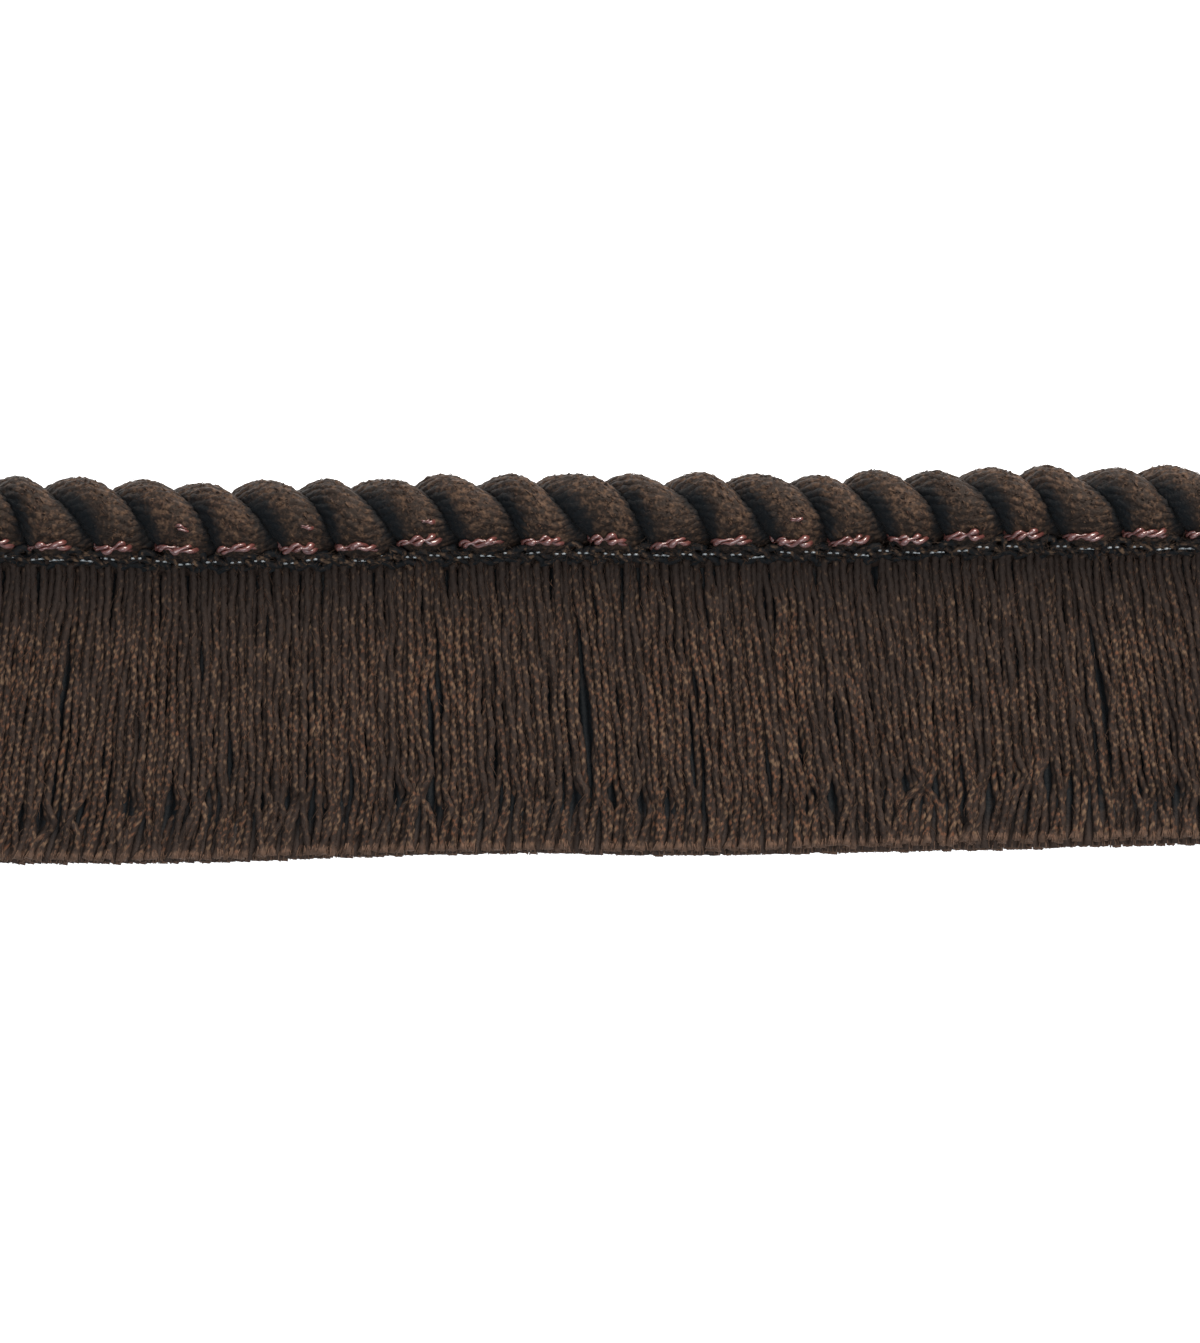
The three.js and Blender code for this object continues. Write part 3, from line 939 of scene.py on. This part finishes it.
def opal_acrylic(name, colour, glow):
    """Cast opal acrylic, matt on top and lit from below as a packshot table is: an even white surface, with
    a trace of tooth, that shows hardly any shadow."""
    material, tree = new_material(name)
    where = add_node(tree, "TexCoord", output="Object")
    tooth = add_node(tree, "TexNoise", {"Vector": where, "Scale": 0.9 / MM, "Detail": 2.0})
    bump = add_node(tree, "Bump", {"Height": tooth, "Strength": 0.1, "Distance": 0.02 * MM})
    surface = {
        "Base Color": colour,
        "Roughness": 0.9,
        "Specular IOR Level": 0.1,
        "Emission Color": colour,
        "Emission Strength": glow,
        "Normal": bump,
    }
    give_surface(tree, surface)
    return material


# What a user may change.


def size(name, description, millimetres):
    """A length, kept in metres."""
    return bpy.props.FloatProperty(
        name=name, description=description, default=millimetres * MM, min=0.0, precision=5, unit="LENGTH"
    )


def power(name, description, watts):
    """The power of a light."""
    return bpy.props.FloatProperty(name=name, description=description, default=watts, min=0.0, unit="POWER")


def tint(name, description, hexadecimal):
    """A colour, kept in linear light."""
    light = linear(hexadecimal)
    return bpy.props.FloatVectorProperty(
        name=name, description=description, default=light, size=3, min=0.0, max=1.0, subtype="COLOR"
    )


class FringeCordSettings(bpy.types.PropertyGroup):
    """The cord's yarns."""

    yarn_turn: size("Yarn turn", "Length of one full turn of a cord yarn's plies", 2.0)
    ply_offset: size("Ply offset", "From the middle of a cord yarn to a ply's", 0.12)
    ply_radius: size("Ply radius", "Radius of a cord yarn's ply", 0.46)
    shade: tint("Shade", "Darkest brown of the cord's yarns", "1f1916")
    mid: tint("Brown", "Main brown of the cord's yarns", "2a1f19")
    fleck: tint("Bronze", "Bronze flecks of the cord's yarns", "533f31")
    rust: tint("Rust", "Reddish flecks of the cord's yarns", "4e352b")
    # Painted shade: the blue-black painted on the cord's yarns, core and fibres in the grooves and on the
    # flanks turned from the light.
    groove_shade: tint("Grooves", "Yarns deep in the cord's grooves", "0e1418")


class FringeSkirtSettings(bpy.types.PropertyGroup):
    """The skirt's yarns."""

    yarn_turn: size("Yarn turn", "Length of one full turn of a skirt yarn's plies", 3.3)
    ply_offset: size("Ply offset", "From the middle of a skirt yarn to a ply's", 0.15)
    ply_radius: size("Ply radius", "Radius of a skirt yarn's ply", 0.36)
    shade: tint("Shade", "Darkest brown of the skirt's yarns", "2c231f")
    mid: tint("Brown", "Main brown of the skirt's yarns", "392a22")
    fleck: tint("Light brown", "Lightest fibres of the skirt's yarns", "66503e")
    rust: tint("Rust", "Reddish fibres of the skirt's yarns", "6d4530")
    # Partly the frayed fibres' own paler brown and partly painted light, which keeps the cut edge light
    # where it turns away from the lights.
    cut_end: tint("Cut ends", "Paler brown of the frayed cut ends", "624c3f")
    # Painted shade: the blue-black given to the yarns behind the front ones and to the binding's darkest
    # parts, standing in for the shade in the gaps between the yarns in front.
    inner: tint("Inner", "Main tone of the yarns behind the front ones", "13171a")


class FringeSewingSettings(bpy.types.PropertyGroup):
    """The sewing threads."""

    red_turn: size("Pair turn", "Length in which the two red threads turn once round each other", 4.2)
    red_radius: size("Red thread radius", "Radius of one red thread", 0.3)
    red_shade: tint("Copper red", "Body of the red thread", "3a1a16")
    # Painted sheen: the lighter streaks along the red thread's filaments.
    red_shine: tint("Pink copper", "Lighter filaments of the red thread", "774640")
    # The light grey is a painted highlight: it lets the clear thread's arches show as glints.
    clear: tint("Clear thread", "Tint of the clear thread", "c3c6c6")


class FringeStageSettings(bpy.types.PropertyGroup):
    """The floor, the lights and the camera."""

    floor: tint("Floor", "Colour of the floor", "f4f4f4")
    glow: bpy.props.FloatProperty(
        name="Glow", description="How brightly the floor is lit from below", default=0.9, min=0.0
    )
    key_power: power("Key light", "Power of the main light", 14.0)
    fill_power: power("Fill light", "Power of the soft light over the trim", 8.0)
    view_height: size("View height", "Height of the floor that the camera sees", 172.2)
    roll: bpy.props.FloatProperty(
        name="Roll", description="How far the camera is rolled", default=math.radians(-0.95), subtype="ANGLE"
    )


class FringeSettings(bpy.types.PropertyGroup):
    """All settings of the brush fringe."""

    cord: bpy.props.PointerProperty(type=FringeCordSettings)
    skirt: bpy.props.PointerProperty(type=FringeSkirtSettings)
    sewing: bpy.props.PointerProperty(type=FringeSewingSettings)
    stage: bpy.props.PointerProperty(type=FringeStageSettings)


# What makes the pieces.


def yarn_twist(settings, sides, flat=0.9):
    """The twist of the yarns that a group of settings gives."""
    return Twist(
        settings.yarn_turn / MM, -1, settings.ply_offset / MM, settings.ply_radius / MM, sides, flat
    )


def colours_of(settings, *names):
    """Some of the colours in a group of settings."""
    return [getattr(settings, name)[:] for name in names]


class FRINGE_OT_cord(bpy.types.Operator):
    """Lay the cord's yarns over both of its strands"""

    bl_idname = "fringe.cord"
    bl_label = "Cord"

    def execute(self, context):
        s = context.scene.brush_fringe.cord
        rng = np.random.default_rng(7)
        # The last of these colours is the painted shade of the grooves.
        browns = colours_of(s, "shade", "mid", "fleck", "rust", "groove_shade")
        yarn = spun_yarn("cord_spun_viscose", browns, bead=0.7, grain=0.35, crest_highlight=0.0, plain=0.93)
        for strand, name in enumerate(("cord_first_strand", "cord_second_strand")):
            tubes = strand_yarns(strand, yarn_twist(s, 7, 0.85), rng)
            add_piece(name, [tubes], yarn, "cord_yarn", "twisted_cord")
        add_piece("cord_inner_yarns", [strand_cores()], yarn, "cord_yarn")
        add_piece("cord_loose_fibres", [cord_fibres(rng, CORD_FIBRES)], yarn, "cord_yarn")
        add_piece("cord_cut_ends", cord_cut_ends(yarn_twist(s, 4, 0.85), rng), yarn, "cord_yarn")
        return {"FINISHED"}


class FRINGE_OT_skirt(bpy.types.Operator):
    """Hang the skirt's yarns in four layers and fray their cut ends"""

    bl_idname = "fringe.skirt"
    bl_label = "Skirt"

    def execute(self, context):
        s = context.scene.brush_fringe.skirt
        rng = np.random.default_rng(11)
        browns = colours_of(s, "shade", "mid", "fleck", "rust", "cut_end")
        yarn = spun_yarn(
            "skirt_spun_viscose", browns, bead=1.4, grain=0.42, crest_highlight=0.72, plain=0.72, mixed=0.55
        )
        # The yarns behind the front ones are painted blue-black, a painted shade for the gaps between the
        # front yarns.
        browns = colours_of(s, "inner", "inner", "shade", "mid", "cut_end")
        dark = spun_yarn("skirt_inner_viscose", browns, bead=1.5, grain=0.5, crest_highlight=0.0, plain=1.1)
        tubes, paths = inner_yarns(rng)
        add_piece(INNER.name, [tubes], dark, "skirt_yarn", "brush_skirt")
        ends = [frayed_ends(paths, rng)]
        front_twist = yarn_twist(s, 8)
        back_twist = front_twist._replace(radius=front_twist.radius * 1.25, sides=6)
        for layer, twist in ((BACK, back_twist), (MIDDLE, front_twist), (FRONT, front_twist)):
            tubes, paths = skirt_yarns(layer, twist, rng)
            add_piece(layer.name, [tubes], yarn, "skirt_yarn", "brush_skirt")
            ends.append(frayed_ends(paths, rng))
        add_piece("skirt_frayed_ends", ends, yarn, "skirt_yarn")
        add_piece("heading_core", [heading_core()], yarn, "skirt_yarn")
        add_piece("skirt_loose_fibres", [loose_fibres(paths, rng, SKIRT_FIBRES)], yarn, "skirt_yarn")
        return {"FINISHED"}


class FRINGE_OT_binding(bpy.types.Operator):
    """Loop the brown binding yarns between the cord and the heading"""

    bl_idname = "fringe.binding"
    bl_label = "Binding"

    def execute(self, context):
        s = context.scene.brush_fringe.skirt
        rng = np.random.default_rng(13)
        # The binding's darkest colour is the blue-black painted shade of the hidden skirt yarns, which
        # darkens the gaps between its loops.
        browns = colours_of(s, "inner", "shade", "fleck", "mid", "cut_end")
        yarn = spun_yarn("binding_spun_viscose", browns, bead=0.9, grain=0.4, crest_highlight=0.6, plain=0.8)
        tubes, paths = binding_yarns(yarn_twist(s, 8), rng)
        add_piece("binding_yarns", [tubes, loose_fibres(paths, rng, BINDING_FIBRES)], yarn, "skirt_yarn")
        return {"FINISHED"}


class FRINGE_OT_red_stitches(bpy.types.Operator):
    """Sew a copper-red stitch over each turn of the cord"""

    bl_idname = "fringe.red_stitches"
    bl_label = "Red stitches"

    def execute(self, context):
        s = context.scene.brush_fringe.sewing
        radius = s.red_radius / MM
        twist = Twist(s.red_turn / MM, -1, radius * 1.05, radius, 8)
        rng = np.random.default_rng(17)
        thread = sewing_thread("red_rayon_thread", s.red_shade[:], s.red_shine[:])
        made = red_stitches(stitch_places(), STITCH_HALF_SPAN, STITCH_DROPS, STITCH_LIFT, twist, rng)
        thin = twist._replace(
            offset=twist.offset * CATCH_THICKNESS, radius=twist.radius * CATCH_THICKNESS
        )
        drops = (CATCH_DROP, CATCH_DROP)
        made += red_stitches(CATCHES, CATCH_HALF_SPAN, drops, CATCH_LIFT, thin, rng)
        add_piece("red_stitches", made, thread, "red_thread")
        return {"FINISHED"}


class FRINGE_OT_clear_chain(bpy.types.Operator):
    """Sew the clear chain stitch along the heading"""

    bl_idname = "fringe.clear_chain"
    bl_label = "Clear chain stitch"

    def execute(self, context):
        s = context.scene.brush_fringe.sewing
        thread = clear_nylon("clear_nylon_thread", s.clear[:])
        add_piece("clear_chain_stitch", [clear_chain(np.random.default_rng(19))], thread, "clear_thread")
        return {"FINISHED"}


def add_area_light(name, place, side, watts, colour):
    """A soft square light at place, turned to the trim's middle."""
    light = bpy.data.lights.new(name, "AREA")
    light.size = side
    light.energy = watts
    light.color = colour
    lamp = bpy.data.objects.new(name, light)
    turn = (-Vector(place)).to_track_quat("-Z", "Y")
    lamp.matrix_world = Matrix.LocRotScale(Vector(place), turn, None)
    bpy.context.scene.collection.objects.link(lamp)


class FRINGE_OT_stage(bpy.types.Operator):
    """Lay the floor and set the lights and the camera"""

    bl_idname = "fringe.stage"
    bl_label = "Floor, lights and camera"

    def execute(self, context):
        scene = context.scene
        s = scene.brush_fringe.stage
        scene.view_settings.view_transform = "Standard"
        half = 4.0  # metres
        mesh = bpy.data.meshes.new("floor")
        corners = [(-half, -half, 0), (half, -half, 0), (half, half, 0), (-half, half, 0)]
        mesh.from_pydata(corners, [], [(0, 1, 2, 3)])
        mesh.materials.append(opal_acrylic("floor_opal_acrylic", s.floor[:], s.glow))
        floor = bpy.data.objects.new("floor", mesh)
        scene.collection.objects.link(floor)
        world = bpy.data.worlds.new("studio")
        world.use_nodes = True
        tree = world.node_tree
        tree.nodes.clear()
        sky = add_node(tree, "Background", {"Color": (0.74, 0.88, 1.0), "Strength": 0.45})
        add_node(tree, "OutputWorld", {"Surface": sky})
        scene.world = world
        warm, neutral = (1.0, 0.92, 0.84), (0.98, 0.98, 1.0)
        add_area_light("key", place=(0.5, 0.72, 0.45), side=0.45, watts=s.key_power, colour=warm)
        add_area_light("fill", place=(0.05, -0.1, 1.1), side=0.9, watts=s.fill_power, colour=neutral)
        lens, sensor = 135.0, 36.0
        distance = s.view_height / 2 * lens / (sensor / 2)
        camera = bpy.data.cameras.new("camera")
        camera.lens, camera.sensor_width = lens, sensor
        camera.clip_start, camera.clip_end = 0.05, 20.0
        view = bpy.data.objects.new("camera", camera)
        view.location = (0.0, -1.3 * MM, distance + CORD_AXIS_Z * MM)
        view.rotation_euler = (0.0, 0.0, s.roll)
        scene.collection.objects.link(view)
        scene.camera = view
        return {"FINISHED"}


MAKERS = (
    FRINGE_OT_cord,
    FRINGE_OT_skirt,
    FRINGE_OT_binding,
    FRINGE_OT_red_stitches,
    FRINGE_OT_clear_chain,
    FRINGE_OT_stage,
)


class FRINGE_PT_sidebar(bpy.types.Panel):
    """The steps and their settings, in the 3D view's sidebar"""

    bl_idname = "FRINGE_PT_sidebar"
    bl_label = "Brush fringe"
    bl_space_type = "VIEW_3D"
    bl_region_type = "UI"
    bl_category = "Fringe"

    def draw(self, context):
        settings = context.scene.brush_fringe
        for maker in MAKERS:
            self.layout.operator(maker.bl_idname)
        for group in (settings.cord, settings.skirt, settings.sewing, settings.stage):
            box = self.layout.box()
            for name in group.__annotations__:
                box.prop(group, name)


CLASSES = (
    FringeCordSettings,
    FringeSkirtSettings,
    FringeSewingSettings,
    FringeStageSettings,
    FringeSettings,
    *MAKERS,
    FRINGE_PT_sidebar,
)


def register():
    for item in CLASSES:
        bpy.utils.register_class(item)
    bpy.types.Scene.brush_fringe = bpy.props.PointerProperty(type=FringeSettings)


def unregister():
    del bpy.types.Scene.brush_fringe
    for item in reversed(CLASSES):
        bpy.utils.unregister_class(item)


def main():
    register()
    bpy.ops.fringe.cord()
    bpy.ops.fringe.skirt()
    bpy.ops.fringe.binding()
    bpy.ops.fringe.red_stitches()
    bpy.ops.fringe.clear_chain()
    bpy.ops.fringe.stage()


if __name__ == "__main__":
    main()
